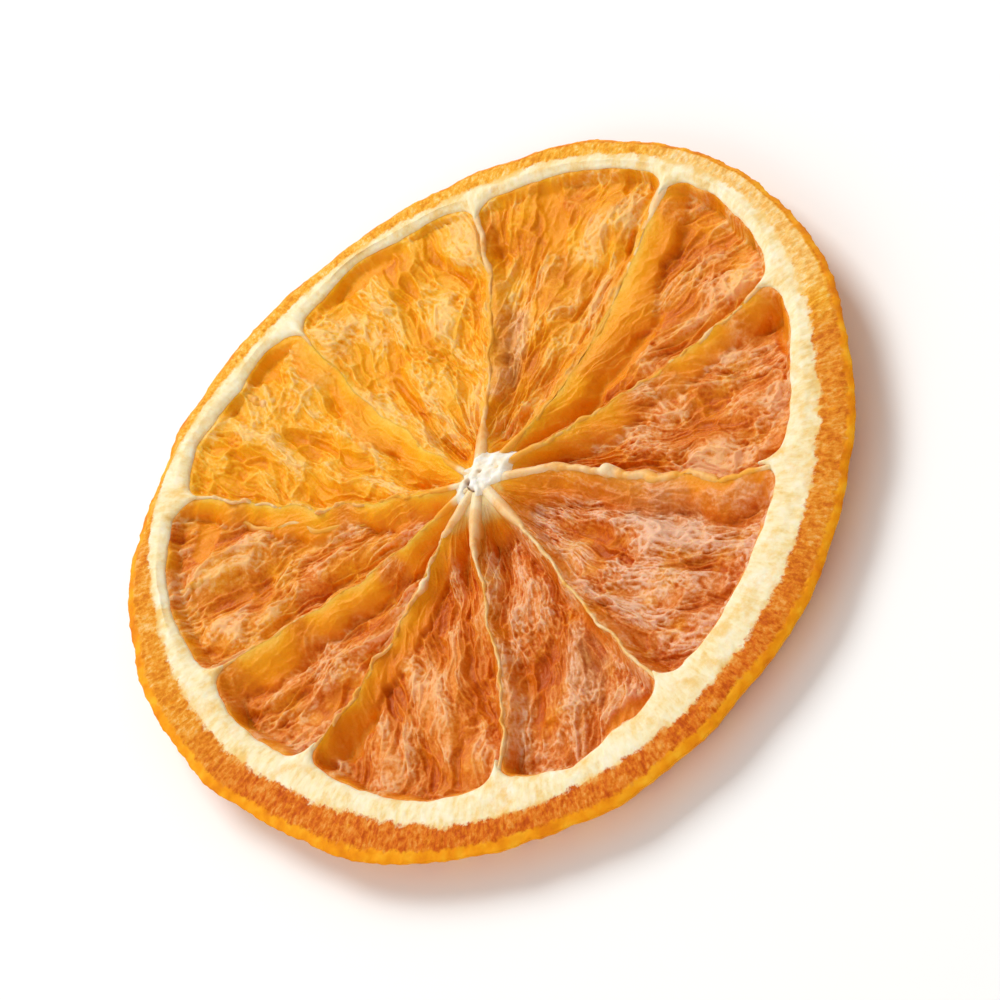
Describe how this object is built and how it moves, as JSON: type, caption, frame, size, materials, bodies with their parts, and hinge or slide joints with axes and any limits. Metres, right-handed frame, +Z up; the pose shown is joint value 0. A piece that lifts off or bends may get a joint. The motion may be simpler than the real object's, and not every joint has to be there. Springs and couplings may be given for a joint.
{
  "type": "dried orange slice",
  "caption": "Thin dried wheel of orange with its peel on, with sunken pulp between raised radial membranes, a pith core and a slightly warped rim.",
  "frame": {"origin": "under the middle of the slice's box, on the surface that it lies on", "axes": "+Z up through the wheel, from the underside to the shown cut face; -Y towards the viewer of the shown face"},
  "size_m": [0.0646, 0.0648, 0.0049],
  "materials": {
    "peel": "dried peel, matt with a faint waxy sheen",
    "pulp": "dried juice vesicles, wrinkled and softly glossy",
    "membrane": "dried membrane, smooth and translucent",
    "pith": "dried pith, matt and spongy"
  },
  "bodies": {
    "root": {"dried_orange_slice": "peel"}
  },
  "joints": []
}
